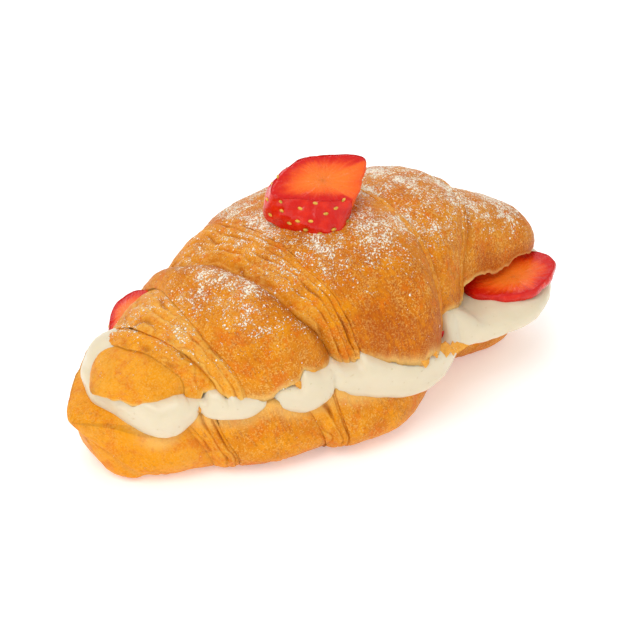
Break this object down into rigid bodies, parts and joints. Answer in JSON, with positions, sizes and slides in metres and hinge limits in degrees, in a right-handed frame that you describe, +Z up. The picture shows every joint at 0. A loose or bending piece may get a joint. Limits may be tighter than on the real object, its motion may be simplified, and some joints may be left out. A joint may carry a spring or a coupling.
{
  "type": "filled croissant",
  "caption": "Croissant split along its length, filled with whipped cream and strawberry slices, with a slice on top and a dusting of powdered sugar.",
  "frame": {"origin": "centre of the bounding box's underside, on the surface that the croissant rests on", "axes": "+X along the croissant towards its blunter, higher tip, -Y out of the open front where the filling shows, +Z up"},
  "size_m": [0.1686, 0.086, 0.0772],
  "materials": {
    "crust": "satin",
    "whipped_cream": "satin",
    "strawberry": "gloss"
  },
  "bodies": {
    "root": {"croissant_lower_half": "crust", "whipped_cream": "whipped_cream", "strawberry_slice_top": "strawberry", "strawberry_slice_right": "strawberry", "strawberry_slice_left": "strawberry", "strawberry_slice_front": "strawberry", "strawberry_slice_middle": "strawberry", "croissant_upper_half": "crust"}
  },
  "joints": []
}
